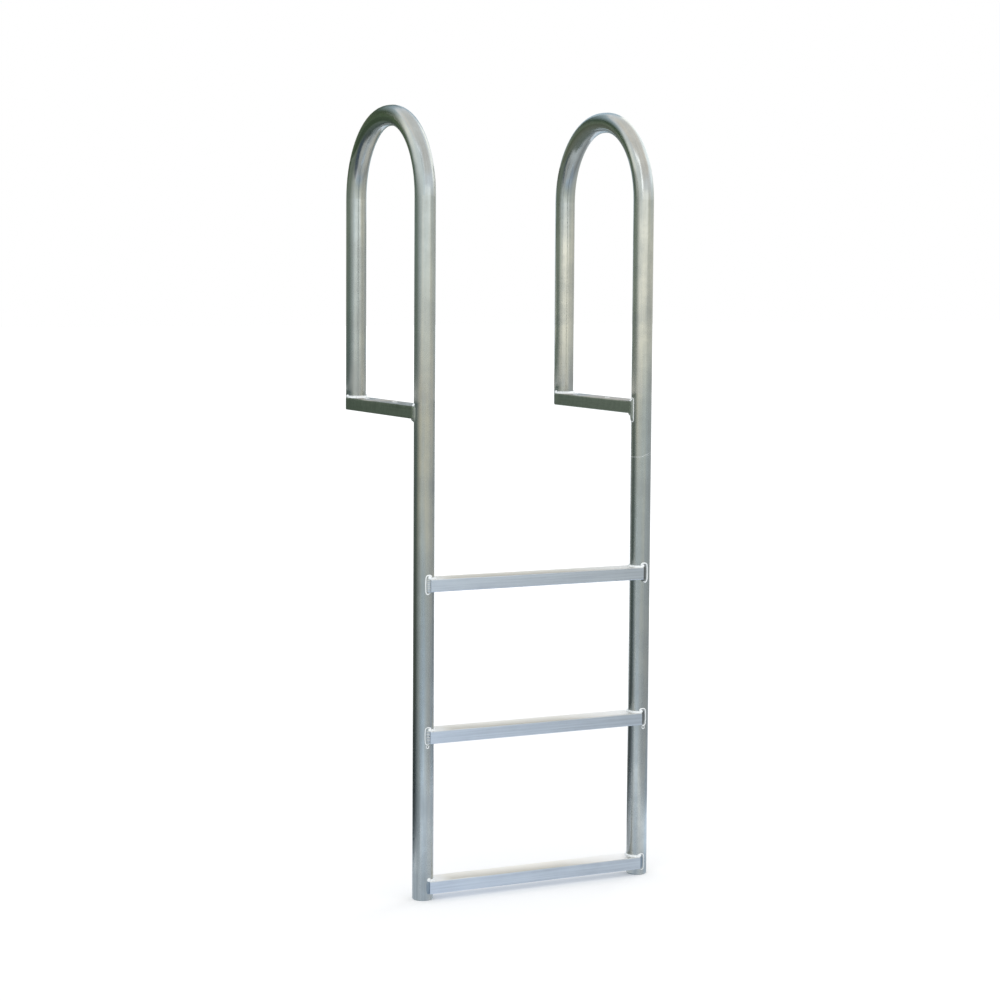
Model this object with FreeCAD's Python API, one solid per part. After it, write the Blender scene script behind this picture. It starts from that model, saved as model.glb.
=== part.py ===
import FreeCAD, Part
import os
from math import sqrt

# Fixed dock ladder, welded from aluminium pipe and rectangular tube, in millimetres.
# X runs along the steps, +Y points from the water to the dock and +Z points up.
# The origin lies on the left bracket's underside, midway between its two bolt holes.

# Rails
rail_diameter = 42.2
rail_wall = 3.6
rail_spacing = 495.0
rail_drop = 967.0
rail_end_rounding = 3.0

# Hand loops
loop_height = 625.0
loop_depth = 340.0
loop_top_flat = 10.0
short_leg_lift = 1.0

# Rectangular tube, the same for the steps and the deck brackets
bar_width = 50.8
bar_height = 25.4
bar_wall = 3.2
bar_corner = 2.0
bar_inner_corner = 0.8

# Steps
step_count = 3
step_pitch = 305.0
lowest_step_top = 39.0

# Saddle joints between tube and pipe
end_inset = 4.7
fit_up_gap = 0.2
weld_leg = 7.0
top_weld_leg = 4.0
weld_wrap = 6.0
side_bead_lap = 4.0

# Bolt holes of the deck brackets
bolt_hole_diameter = 10.0
bolt_spacing = 140.0
rear_hole_setback = 56.0

# Places that follow from the sizes
rail_radius = rail_diameter / 2
left_x = 0.0
right_x = left_x + rail_spacing
short_leg_y = bolt_spacing / 2 + rear_hole_setback
long_leg_y = short_leg_y - loop_depth
rail_bottom = -rail_drop
bend_radius = (loop_depth - loop_top_flat) / 2
loop_crown = loop_height - rail_radius
bend_start = loop_crown - bend_radius
saddle_radius = rail_radius + fit_up_gap
saddle_reach = saddle_radius + weld_leg


def vec(x, y, z):
    return FreeCAD.Vector(x, y, z)


def quarter_bend(start, centre, end):
    """Circular edge of a quarter turn in the plane of a hand loop."""
    middle = (start + end) / 2 - centre
    middle.normalize()
    return Part.Arc(start, centre + middle * bend_radius, end).toShape()


def rail_path(x):
    """Centre line of one rail: long leg, two quarter bends and the short leg."""
    foot = vec(x, long_leg_y, rail_bottom)
    front_low = vec(x, long_leg_y, bend_start)
    front_high = vec(x, long_leg_y + bend_radius, loop_crown)
    rear_high = vec(x, short_leg_y - bend_radius, loop_crown)
    rear_low = vec(x, short_leg_y, bend_start)
    leg_end = vec(x, short_leg_y, short_leg_lift)
    front_centre = vec(x, long_leg_y + bend_radius, bend_start)
    rear_centre = vec(x, short_leg_y - bend_radius, bend_start)
    return Part.Wire([
        Part.makeLine(foot, front_low),
        quarter_bend(front_low, front_centre, front_high),
        Part.makeLine(front_high, rear_high),
        quarter_bend(rear_high, rear_centre, rear_low),
        Part.makeLine(rear_low, leg_end),
    ])


def round_sweep(path, radius):
    """Solid round bar along a path that starts straight up."""
    start = path.OrderedVertexes[0].Point
    profile = Part.Wire(Part.makeCircle(radius, start, vec(0, 0, 1)))
    return path.makePipeShell([profile], True, False)


def make_rail(x):
    """One bent pipe, open at both ends, with the outer edges of its ends rounded."""
    path = rail_path(x)
    pipe = round_sweep(path, rail_radius).cut(round_sweep(path, rail_radius - rail_wall))
    outer_rims = [
        edge for edge in pipe.Edges
        if edge.BoundBox.ZLength < 0.01 and edge.BoundBox.XLength > rail_diameter - 0.1
        and min(abs(edge.BoundBox.ZMax - end) for end in (rail_bottom, short_leg_lift)) < 0.01
    ]
    return pipe.makeFillet(rail_end_rounding, outer_rims)


def rounded_block(length, width, height, corner):
    """Block along +X, centred on Y, standing on Z = 0, with its four long edges rounded."""
    block = Part.makeBox(length, width, height, vec(0, -width / 2, 0))
    long_edges = [edge for edge in block.Edges if edge.BoundBox.XLength > length / 2]
    return block.makeFillet(corner, long_edges)


def bar_outside(length):
    return rounded_block(length, bar_width, bar_height, bar_corner)


def saddle_cutter(x):
    """Cylinder that notches a tube end for the pipe whose axis stands at this X."""
    return Part.makeCylinder(saddle_radius, bar_height * 2, vec(x, 0, -bar_height / 2))


def saddled_tube(axis_distance):
    """Rectangular tube between two pipes whose axes stand at X = 0 and X = axis_distance."""
    length = axis_distance - 2 * end_inset
    bore_width = bar_width - 2 * bar_wall
    bore_height = bar_height - 2 * bar_wall
    bore = rounded_block(length, bore_width, bore_height, bar_inner_corner)
    bore.translate(vec(0, 0, bar_wall))
    tube = bar_outside(length).cut(bore)
    tube.translate(vec(end_inset, 0, 0))
    return tube.cut(saddle_cutter(0)).cut(saddle_cutter(axis_distance))


def make_step(top):
    step = saddled_tube(rail_spacing)
    step.translate(vec(left_x, long_leg_y, top - bar_height))
    return step


def underside_bevel():
    """Weld preparation of a bracket's lower wall, round the long leg's axis."""
    return Part.makeCone(saddle_reach, saddle_radius, bar_wall)


def place_towards_dock(shape, x, y):
    """Turn a shape made along +X so that it runs along +Y from a pipe's axis."""
    shape.rotate(vec(0, 0, 0), vec(0, 0, 1), 90)
    shape.translate(vec(x, y, 0))
    return shape


def make_bracket(x):
    """Deck bracket between a rail's two legs, with two upright bolt holes."""
    bracket = saddled_tube(loop_depth).cut(underside_bevel())
    bracket = place_towards_dock(bracket, x, long_leg_y)
    for hole_y in (-bolt_spacing / 2, bolt_spacing / 2):
        start = vec(x, hole_y, -bar_height / 2)
        bracket = bracket.cut(Part.makeCylinder(bolt_hole_diameter / 2, 2 * bar_height, start))
    return bracket


def fillet_envelope(low, high, leg_below, leg_above):
    """Round body that holds the beads beside a tube, and those under and on it if they have a leg."""
    envelope = Part.makeCylinder(saddle_reach, high - low, vec(0, 0, low))
    if leg_above:
        above = Part.makeCone(saddle_radius + leg_above, saddle_radius, leg_above, vec(0, 0, high))
        envelope = envelope.fuse(above)
    if leg_below:
        below = Part.makeCone(saddle_radius, saddle_radius + leg_below, leg_below, vec(0, 0, low - leg_below))
        envelope = envelope.fuse(below)
    return envelope


def weld_plan(low, height):
    """Upright prism over the beads: it narrows from the tube's sides to their toes on the pipe."""
    toe_y = sqrt(rail_radius ** 2 - weld_wrap ** 2)
    side_y = bar_width / 2
    far_x = 2 * saddle_reach
    points = [
        vec(-weld_wrap, -toe_y, low),
        vec(end_inset, -side_y, low),
        vec(far_x, -side_y, low),
        vec(far_x, side_y, low),
        vec(end_inset, side_y, low),
        vec(-weld_wrap, toe_y, low),
        vec(-weld_wrap, -toe_y, low),
    ]
    return Part.Face(Part.makePolygon(points)).extrude(vec(0, 0, height))


def side_bead_plan(low, height):
    """The part of the weld's plan that the two upright beads beside the tube take up."""
    reach = end_inset + side_bead_lap + weld_wrap
    strip = Part.makeBox(reach, bar_width, height, vec(-weld_wrap, -bar_width / 2, low))
    return weld_plan(low, height).common(strip)


def weld_collar(low, tube_low, leg_below, side_leg_below):
    """Weld round a tube that leaves the pipe at the origin along +X, seen from the tube's lower edge."""
    high = tube_low + bar_height
    base = low - weld_leg
    height = high + weld_leg - base
    crown = fillet_envelope(low, high, leg_below, top_weld_leg).common(weld_plan(base, height))
    sides = fillet_envelope(low, high, side_leg_below, weld_leg).common(side_bead_plan(base, height))
    collar = crown.fuse(sides).removeSplitter()
    collar = collar.cut(Part.makeCylinder(rail_radius, height, vec(0, 0, base)))
    tube = bar_outside(3 * saddle_reach)
    tube.translate(vec(end_inset, 0, tube_low))
    return collar.cut(tube)


def step_weld(top, at_right_end):
    """Upright beads that run on past the tube, joined by a smaller bead on top of it."""
    weld = weld_collar(top - bar_height, top - bar_height, 0, weld_leg)
    if at_right_end:
        weld.rotate(vec(0, 0, 0), vec(0, 0, 1), 180)
    weld.translate(vec(right_x if at_right_end else left_x, long_leg_y, 0))
    return weld


def long_leg_weld(x):
    """Weld at the bracket's water end, which also fills the bevel under the bracket."""
    bevel_fill = saddled_tube(loop_depth).common(underside_bevel())
    weld = weld_collar(0, 0, weld_leg, weld_leg).fuse(bevel_fill).removeSplitter()
    return place_towards_dock(weld, x, long_leg_y)


def short_leg_weld(x):
    """Weld at the bracket's dock end, flush below so that the bracket lies flat on the deck."""
    weld = weld_collar(short_leg_lift, 0, 0, 0)
    weld.rotate(vec(0, 0, 0), vec(0, 0, 1), 180)
    return place_towards_dock(weld, x, short_leg_y)


def export(shape, node):
    """Write one sub-part as its own file, as a single solid."""
    solid = shape.Solids[0]
    if len(shape.Solids) != 1 or not solid.isValid():
        raise ValueError(f"{node} is not one valid solid")
    solid.exportStep(f"parts/{node}.step")
    print(node, round(solid.Volume), "cubic millimetres")


os.makedirs("parts", exist_ok=True)

for side, x in (("left", left_x), ("right", right_x)):
    export(make_rail(x), f"{side}_rail")
    export(make_bracket(x), f"{side}_bracket")
    export(long_leg_weld(x), f"{side}_bracket_front_weld")
    export(short_leg_weld(x), f"{side}_bracket_rear_weld")

for number in range(1, step_count + 1):
    top = rail_bottom + lowest_step_top + (number - 1) * step_pitch
    export(make_step(top), f"step_{number}")
    export(step_weld(top, False), f"step_{number}_left_weld")
    export(step_weld(top, True), f"step_{number}_right_weld")
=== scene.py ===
"""Dock ladder: the finishes of its tubes, its laid weld beads, and the studio that it is shown in."""

import math
import random
from collections import namedtuple

import bpy
from mathutils import Matrix, Vector


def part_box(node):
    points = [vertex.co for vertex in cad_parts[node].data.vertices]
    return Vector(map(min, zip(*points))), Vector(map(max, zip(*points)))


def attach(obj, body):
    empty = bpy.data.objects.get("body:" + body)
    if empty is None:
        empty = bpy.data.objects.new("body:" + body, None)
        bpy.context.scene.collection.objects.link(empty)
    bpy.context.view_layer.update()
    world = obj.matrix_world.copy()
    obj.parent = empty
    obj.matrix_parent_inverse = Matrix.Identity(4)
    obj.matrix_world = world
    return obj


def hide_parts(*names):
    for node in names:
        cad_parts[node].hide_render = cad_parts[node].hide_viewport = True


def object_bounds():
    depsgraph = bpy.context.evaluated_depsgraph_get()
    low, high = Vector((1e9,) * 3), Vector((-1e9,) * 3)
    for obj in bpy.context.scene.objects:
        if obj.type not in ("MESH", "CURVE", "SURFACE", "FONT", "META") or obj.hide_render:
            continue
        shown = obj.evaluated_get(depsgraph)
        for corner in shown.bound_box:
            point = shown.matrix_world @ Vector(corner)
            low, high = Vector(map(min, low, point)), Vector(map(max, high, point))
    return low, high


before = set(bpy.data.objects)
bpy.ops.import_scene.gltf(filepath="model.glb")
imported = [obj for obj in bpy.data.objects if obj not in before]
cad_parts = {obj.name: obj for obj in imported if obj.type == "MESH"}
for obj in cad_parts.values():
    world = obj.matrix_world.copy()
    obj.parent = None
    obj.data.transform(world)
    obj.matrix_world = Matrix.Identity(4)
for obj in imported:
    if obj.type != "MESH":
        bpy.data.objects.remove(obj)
cad_low, cad_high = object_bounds()

MM = 0.001
UP = Vector((0, 0, 1))
TO_DOCK = Vector((0, 1, 0))
SIDES = ("left", "right")
STEPS = (1, 2, 3)

# Sizes of the tubes that the welds join
PIPE_RADIUS = 21.1 * MM
BAR_WIDTH = 50.8 * MM
BAR_HEIGHT = 25.4 * MM
LOOP_TOP_FLAT = 10 * MM
HOLE_RADIUS = 5 * MM
HOLE_PLACE = 70 * MM

# Upright beads beside a tube. Their toe on the tube, from the pipe's axis, and the lap past their toes
# are in millimetres
RIPPLE_LENGTH = 3.5 * MM
RIPPLE_THICKNESS = 3.2 * MM
RIPPLE_PROUD = 0.6 * MM
TUBE_TOE = 5.4
BEAD_LAP = 0.4

# Bead on top of a tube, broader at a bracket's dock end, and the one under a bracket's front end. The
# sizes are a ripple's length, width and thickness
TOP_PITCH = 2.6 * MM
TOP_RIPPLE_SIZE = (2.6 * MM, 2.8 * MM, 1.9 * MM)
SKIRT_RIPPLE_SIZE = (3.2 * MM, 5.0 * MM, 3.4 * MM)
TOP_LEG = 4 * MM
UNDER_PITCH = 3.2 * MM
UNDER_RIPPLE_SIZE = (3.4 * MM, 5.1 * MM, 3.6 * MM)
UNDER_LEG = 7 * MM
RING_PROUD = 0.9 * MM
RING_KEYS = 20
RING_REACH = 0.97
RING_SIDE_ROOM = 0.8

# The lip of a drop one metre in radius: where it starts, its stretch, and the place it is stretched about
LIP_START = 0.55
LIP_SIZE = (1, 1, 0.9)
LIP_CENTRE = (1, 0, 0.2)

# How a ripple is tipped over the one before it, and how much ripples and ropes differ from each other
RIPPLE_TILT = math.radians(20)
TILT_CHANGE = (-0.1, 0.1)
RIPPLE_SWELL = (0.93, 1.07)
RIM_SWELL = (0.85, 1.1)
LOOP_SWELL = (0.8, 1.2)

# Where a bead was begun on the tube's corner, and how far its rim's middle lies off the pipe, in
# millimetres. The rim swells over the blob and thins out at the bead's foot
BLOB_END = 8.2
BLOB_SIDE = 20.4
BLOB_SUNK = 1.0
ROPE_PROUD = 0.4
CURL_SWELL = 1.25
HOOK_TAPER = 0.4
END_LOOP_ROPE = 0.8 * MM

# Size of the grains that weld metal is melted together from, and how often it is softened
WELD_GRAIN = 0.45 * MM
WELD_SOFTENING = 5

# Ring of metal that the drill pushed up round a bolt hole
BURR_OUT = 0.4 * MM
BURR_ROPE = 0.5 * MM
BURR_STRETCH = 2.0

# Pipe cutter's marks: angles in degrees from +X towards the dock, heights and climbs in millimetres
MARK_START = -216
CLIMB_START = -126
SECOND_START = -111
MARK_END = -6
MARK_STEP = 15
MARK_HEIGHT = -89.5
SECOND_HEIGHT = -88.5
CLIMB = 0.13
SECOND_CLIMB = 0.075
MARK_ROPE = 0.3 * MM
SECOND_ROPE = 0.25 * MM

# Grain of the finishes, in swells to the metre, and how far it is drawn out along a pipe or a tube
DIE_LINES = 330.0
DIE_BANDS = 110.0
DIE_TINTS = 60.0
PIPE_PATCHES = 16.0
STEP_LINES = 200.0
STEP_PATCHES = 14.0
BRACKET_LINES = 260.0
BRACKET_PATCHES = 60.0
WELD_SPECKS = 260.0
PIPE_DRAW = 0.03
TUBE_DRAW = 0.02

# Detail and roughness of a noise
PLAIN = (1.0, 0.4)
FINE = (3.0, 0.6)
CLOUDY = (4.0, 0.6)
MOTTLED = (4.0, 0.65)

# The stretch of a value that runs from none to all of what it drives
PATCHY = (0.35, 0.7)
EVEN = (0.35, 0.65)
LINED = (0.3, 0.7)
STREAKED = (0.1, 0.65)
GROOVED = (0.47, 0.53)
LOOKING_UP = (0.6, 1.0)

# Share of the finer grain in a mix of two, how dull a patch leaves a tube, how much speckles dull weld
# metal, and how dark the painted shade in its grooves makes it
DIE_LINES_SHARE = 0.35
BRACKET_LINES_SHARE = 0.4
PIPE_PATCH_SHARE = (0.35, 1.0)
STEP_PATCH_SHARE = (0.45, 1.0)
SPECKLE_SHARE = 0.5
GROOVE_SHADE_SHARE = 0.5

# Roughness where a finish is bright and where it is dull, and how much hands smooth the loops
PIPE_GLOSS = (0.22, 0.34)
STEP_GLOSS = (0.4, 0.55)
BRACKET_GLOSS = (0.26, 0.42)
RIPPLE_GLOSS = (0.38, 0.55)
RIM_GLOSS = (0.38, 0.5)
HANDLED_GLOSS = 0.8

# How metallic weld metal is, and the depth of the finest relief
RIPPLE_METAL = 0.85
RIM_METAL = 0.2
PIPE_RELIEF = 0.04 * MM
STEP_RELIEF = 0.06 * MM
BRACKET_RELIEF = 0.05 * MM
RIPPLE_RELIEF = 0.06 * MM
RIM_RELIEF = 0.04 * MM

# Heights over which the smoothing by hands sets in, and over which the painted highlight on the right rail
# starts and stops
HANDLED = (200 * MM, 450 * MM)
HIGHLIGHT_START = (0, 160 * MM)
HIGHLIGHT_STOP = (320 * MM, 460 * MM)

# Where a step's top carries painted highlights at its ends, where the weld cleaned a bracket's top, where
# a step's front edge carries a painted highlight from its left end, and how far the painted reflection on
# a step's top wanders
STEP_HIGHLIGHT_LEFT = (30 * MM, 60 * MM)
STEP_HIGHLIGHT_RIGHT = (190 * MM, 50 * MM)
BRACKET_CLEANED = (30 * MM, 52 * MM)
EDGE_HIGHLIGHT_WIDTH = (1 * MM, 4 * MM)
EDGE_HIGHLIGHT_LENGTH = (80 * MM, 140 * MM)
TREAD_WANDER = 20 * MM

# Heights over which the tones of the steps' beads give way to those of the brackets' beads, heights
# above the lowest step over which its blue stops, half the width over which the painted shade sets in, and
# shares
TONE_CHANGE = (-200 * MM, -100 * MM)
SLATE_STOP = (50 * MM, 150 * MM)
SHADE_MIDDLE = 50 * MM
GREEN_SHARE = 0.7
PAINTED_SHADE_SHARE = 0.8

# Colours in linear light
RAIL_WARM = (0.61, 0.60, 0.54, 1)
RAIL_COOL = (0.52, 0.585, 0.62, 1)
RAIL_DULL = (0.38, 0.41, 0.42, 1)
RAIL_PAINTED_HIGHLIGHT = (0.74, 0.74, 0.69, 1)
STEP_LEFT_REFLECTION_BRIGHT = (0.745, 0.81, 0.905, 1)
STEP_LEFT_REFLECTION_DULL = (0.535, 0.59, 0.68, 1)
STEP_RIGHT_REFLECTION_BRIGHT = (0.66, 0.705, 0.755, 1)
STEP_RIGHT_REFLECTION_DULL = (0.465, 0.50, 0.545, 1)
TREAD_FRONT_REFLECTION = (0.60, 0.58, 0.53, 1)
TREAD_REAR_REFLECTION = (1.0, 0.98, 0.95, 1)
BRACKET_SHADED_SIDE_BRIGHT = (0.40, 0.45, 0.39, 1)
BRACKET_SHADED_SIDE_DULL = (0.24, 0.285, 0.235, 1)
BRACKET_TOP_BRIGHT = (0.58, 0.55, 0.53, 1)
BRACKET_TOP_DULL = (0.32, 0.32, 0.32, 1)
CLEANED_AND_HIGHLIGHT = (0.97, 0.97, 0.98, 1)
BEAD_BRIGHT = (0.60, 0.635, 0.66, 1)
BEAD_DULL = (0.34, 0.37, 0.39, 1)
BEAD_PAINTED_SHADE = (0.09, 0.095, 0.09, 1)
BEAD_SLATE = (0.27, 0.33, 0.39, 1)
BEAD_GREEN = (0.30, 0.34, 0.29, 1)
RIM_HIGHLIGHT_WHITE = (0.95, 0.98, 1.0, 1)
RIM_HIGHLIGHT_DULL = (0.80, 0.85, 0.88, 1)


def leg_places():
    """The axes of the four upright legs, read from the rails' solids."""
    found = {}
    for side in SIDES:
        low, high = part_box(f"{side}_rail")
        x = (low[0] + high[0]) / 2
        found[side, "long"] = Vector((x, low[1] + PIPE_RADIUS, 0))
        found[side, "short"] = Vector((x, high[1] - PIPE_RADIUS, 0))
    return found


LEGS = leg_places()
LEFT_X = LEGS["left", "long"].x
RIGHT_X = LEGS["right", "long"].x
MIDDLE_X = (LEFT_X + RIGHT_X) / 2
FRONT_Y = LEGS["left", "long"].y
REAR_Y = LEGS["left", "short"].y
FLOOR_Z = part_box("left_rail")[0][2]


def select_only(things):
    """Selects these objects alone, with the first one active."""
    bpy.ops.object.select_all(action="DESELECT")
    for thing in things:
        thing.select_set(True)
    bpy.context.view_layer.objects.active = things[0]


def link_value(tree, value, socket):
    """Puts a number or colour on a socket, or links another node's output to it."""
    if isinstance(value, bpy.types.NodeSocket):
        tree.links.new(value, socket)
    else:
        socket.default_value = value


def calc(tree, operation, first, second=0.0):
    """A Math node on numbers or outputs."""
    node = tree.nodes.new("ShaderNodeMath")
    node.operation = operation
    link_value(tree, first, node.inputs[0])
    link_value(tree, second, node.inputs[1])
    return node.outputs[0]


def carry(tree, value, low, high, to_low=0.0, to_high=1.0):
    """Carries a value from one range to another, held at its ends."""
    node = tree.nodes.new("ShaderNodeMapRange")
    tree.links.new(value, node.inputs["Value"])
    node.inputs["From Min"].default_value = low
    node.inputs["From Max"].default_value = high
    node.inputs["To Min"].default_value = to_low
    node.inputs["To Max"].default_value = to_high
    return node.outputs["Result"]


def weigh(tree, first, share, second):
    """So much of one value, and the rest of another."""
    part = calc(tree, "MULTIPLY", first, share)
    rest = calc(tree, "MULTIPLY", second, 1 - share)
    return calc(tree, "ADD", part, rest)


def vector_of(tree, x, y, z):
    """A vector from three numbers or outputs."""
    node = tree.nodes.new("ShaderNodeCombineXYZ")
    for value, socket in zip((x, y, z), node.inputs):
        link_value(tree, value, socket)
    return node.outputs["Vector"]


def parts_of(tree, vector):
    """The X, Y and Z of a vector."""
    node = tree.nodes.new("ShaderNodeSeparateXYZ")
    tree.links.new(vector, node.inputs[0])
    return node.outputs


def length_of(tree, vector):
    """The length of a vector."""
    node = tree.nodes.new("ShaderNodeVectorMath")
    node.operation = "LENGTH"
    tree.links.new(vector, node.inputs[0])
    return node.outputs["Value"]


def noise(tree, place, scale, detail, roughness):
    """Soft noise from 0 to 1, with so many swells to the metre."""
    node = tree.nodes.new("ShaderNodeTexNoise")
    tree.links.new(place, node.inputs["Vector"])
    node.inputs["Scale"].default_value = scale
    node.inputs["Detail"].default_value = detail
    node.inputs["Roughness"].default_value = roughness
    return node.outputs["Fac"]


def blend(tree, amount, first, second):
    """Mixes two colours or colour outputs."""
    node = tree.nodes.new("ShaderNodeMix")
    node.data_type = "RGBA"
    tree.links.new(amount, node.inputs[0])
    link_value(tree, first, node.inputs[6])
    link_value(tree, second, node.inputs[7])
    return node.outputs[2]


def object_place(tree):
    """Where a point lies on its object, which for the ladder's pieces is its place in the frame."""
    return tree.nodes.new("ShaderNodeTexCoord").outputs["Object"]


def start_metal(name):
    """A bare metal: the material, its tree, its shader, and the place of a point on it."""
    finish = bpy.data.materials.new(name)
    finish.use_nodes = True
    tree = finish.node_tree
    shader = tree.nodes["Principled BSDF"]
    shader.inputs["Metallic"].default_value = 1.0
    return finish, tree, shader, object_place(tree)


def finish_metal(tree, shader, colour, roughness, height, depth):
    """Gives the metal its colour, its roughness, and its relief from a height."""
    tree.links.new(colour, shader.inputs["Base Color"])
    tree.links.new(roughness, shader.inputs["Roughness"])
    relief = tree.nodes.new("ShaderNodeBump")
    relief.inputs["Distance"].default_value = depth
    tree.links.new(height, relief.inputs["Height"])
    tree.links.new(relief.outputs["Normal"], shader.inputs["Normal"])


def from_rail_plane(tree, x):
    """Sideways distance of a place from the plane of the nearer rail."""
    from_middle = calc(tree, "ABSOLUTE", calc(tree, "SUBTRACT", x, MIDDLE_X))
    return calc(tree, "SUBTRACT", from_middle, (RIGHT_X - LEFT_X) / 2)


def drawn_place(tree, x, y, z):
    """A place on a rail, drawn out along the pipe and carried round the hand loop."""
    bend_radius = (REAR_Y - FRONT_Y - LOOP_TOP_FLAT) / 2
    bend_start = cad_high[2] - PIPE_RADIUS - bend_radius
    outwards = calc(tree, "ABSOLUTE", calc(tree, "SUBTRACT", y, (FRONT_Y + REAR_Y) / 2))
    outwards = calc(tree, "MAXIMUM", calc(tree, "SUBTRACT", outwards, LOOP_TOP_FLAT / 2), 0.0)
    upwards = calc(tree, "MAXIMUM", calc(tree, "SUBTRACT", z, bend_start), 0.0)
    from_centre = length_of(tree, vector_of(tree, outwards, upwards, 0.0))
    from_axis = calc(tree, "SUBTRACT", from_centre, bend_radius)
    along = calc(tree, "MULTIPLY", calc(tree, "ADD", z, calc(tree, "ADD", x, y)), PIPE_DRAW)
    return vector_of(tree, from_rail_plane(tree, x), from_axis, along)


def highlighted_leg(tree, x, z):
    """How far a place carries a painted highlight: on the right rail, from the bracket up to the bends."""
    on_right_rail = calc(tree, "GREATER_THAN", x, MIDDLE_X)
    highlighted = calc(tree, "MULTIPLY", on_right_rail, carry(tree, z, *HIGHLIGHT_STOP, 1.0, 0.0))
    return calc(tree, "MULTIPLY", highlighted, carry(tree, z, *HIGHLIGHT_START))


def drawn_pipe():
    """Drawn pipe: die lines that follow it round the hand loop, with dull patches over them, and a painted
    highlight on the right rail.
    """
    finish, tree, shader, place = start_metal("drawn_pipe")
    x, y, z = parts_of(tree, place)
    drawn = drawn_place(tree, x, y, z)
    lines = noise(tree, drawn, DIE_LINES, *PLAIN)
    bands = noise(tree, drawn, DIE_BANDS, *PLAIN)
    tints = noise(tree, drawn, DIE_TINTS, *PLAIN)
    patches = noise(tree, place, PIPE_PATCHES, *CLOUDY)
    streaks = weigh(tree, lines, DIE_LINES_SHARE, bands)
    dullness = calc(tree, "MULTIPLY", carry(tree, patches, *PATCHY, *PIPE_PATCH_SHARE), streaks)
    dullness = carry(tree, dullness, *STREAKED)
    bright = blend(tree, carry(tree, tints, *EVEN), RAIL_WARM, RAIL_COOL)
    # Painted highlight: the right rail is lighter from its bracket up to its bends
    bright = blend(tree, highlighted_leg(tree, x, z), bright, RAIL_PAINTED_HIGHLIGHT)
    colour = blend(tree, dullness, bright, RAIL_DULL)
    handled = carry(tree, z, *HANDLED, 1.0, HANDLED_GLOSS)
    roughness = calc(tree, "MULTIPLY", carry(tree, dullness, 0.0, 1.0, *PIPE_GLOSS), handled)
    finish_metal(tree, shader, colour, roughness, streaks, PIPE_RELIEF)
    return finish


def brushed_lines(tree, place, grain, scale):
    """Lines along one axis of a straight tube."""
    squeezed = []
    for axis, part in enumerate(parts_of(tree, place)):
        squeezed.append(calc(tree, "MULTIPLY", part, TUBE_DRAW if axis == grain else 1.0))
    return carry(tree, noise(tree, vector_of(tree, *squeezed), scale, *FINE), *LINED)


def facing_up(tree):
    """1 on level faces that look up, 0 on upright ones."""
    normal = tree.nodes.new("ShaderNodeNewGeometry").outputs["Normal"]
    return carry(tree, parts_of(tree, normal)[2], *LOOKING_UP)


def step_top_highlights(tree, x, y):
    """How far a step's top is painted white as a highlight: at both ends, and along its front edge near
    the left end.
    """
    at_right = carry(tree, x, RIGHT_X - STEP_HIGHLIGHT_RIGHT[0], RIGHT_X - STEP_HIGHLIGHT_RIGHT[1])
    at_left = carry(tree, x, LEFT_X + STEP_HIGHLIGHT_LEFT[0], LEFT_X + STEP_HIGHLIGHT_LEFT[1], 1.0, 0.0)
    edge = FRONT_Y - BAR_WIDTH / 2
    on_edge = carry(tree, y, edge + EDGE_HIGHLIGHT_WIDTH[0], edge + EDGE_HIGHLIGHT_WIDTH[1], 1.0, 0.0)
    near_left = carry(tree, x, LEFT_X + EDGE_HIGHLIGHT_LENGTH[0], LEFT_X + EDGE_HIGHLIGHT_LENGTH[1], 1.0, 0.0)
    at_ends = calc(tree, "MAXIMUM", at_right, at_left)
    return calc(tree, "MAXIMUM", at_ends, calc(tree, "MULTIPLY", on_edge, near_left))


def brushed_step():
    """Step tube: lines along it, sides with a painted bluish reflection that is bluer towards the left
    end, and a top with a painted reflection, dark in front and white at the back, and painted highlights.
    """
    finish, tree, shader, place = start_metal("brushed_step")
    x, y, _ = parts_of(tree, place)
    lines = brushed_lines(tree, place, 0, STEP_LINES)
    patches = noise(tree, place, STEP_PATCHES, *CLOUDY)
    dullness = calc(tree, "MULTIPLY", lines, carry(tree, patches, *PATCHY, *STEP_PATCH_SHARE))
    # Painted reflection: the step's top runs from dark beige in front to white at the back
    wandering = calc(tree, "MULTIPLY", calc(tree, "SUBTRACT", patches, 0.5), TREAD_WANDER)
    front, rear = FRONT_Y - BAR_WIDTH / 2, FRONT_Y + BAR_WIDTH / 2
    tread = carry(tree, calc(tree, "ADD", y, wandering), front, rear)
    tread_reflection = blend(tree, tread, TREAD_FRONT_REFLECTION, TREAD_REAR_REFLECTION)
    # Painted highlights: the step's top is white at both ends and along its front edge near the left end
    top_colour = blend(tree, step_top_highlights(tree, x, y), tread_reflection, CLEANED_AND_HIGHLIGHT)
    # Painted reflection: the step's sides are tinted blue, more strongly towards the left end
    along = carry(tree, x, LEFT_X, RIGHT_X)
    bright = blend(tree, along, STEP_LEFT_REFLECTION_BRIGHT, STEP_RIGHT_REFLECTION_BRIGHT)
    dull = blend(tree, along, STEP_LEFT_REFLECTION_DULL, STEP_RIGHT_REFLECTION_DULL)
    painted_side_colour = blend(tree, dullness, bright, dull)
    colour = blend(tree, facing_up(tree), painted_side_colour, top_colour)
    roughness = carry(tree, dullness, 0.0, 1.0, *STEP_GLOSS)
    finish_metal(tree, shader, colour, roughness, lines, STEP_RELIEF)
    return finish


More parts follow.
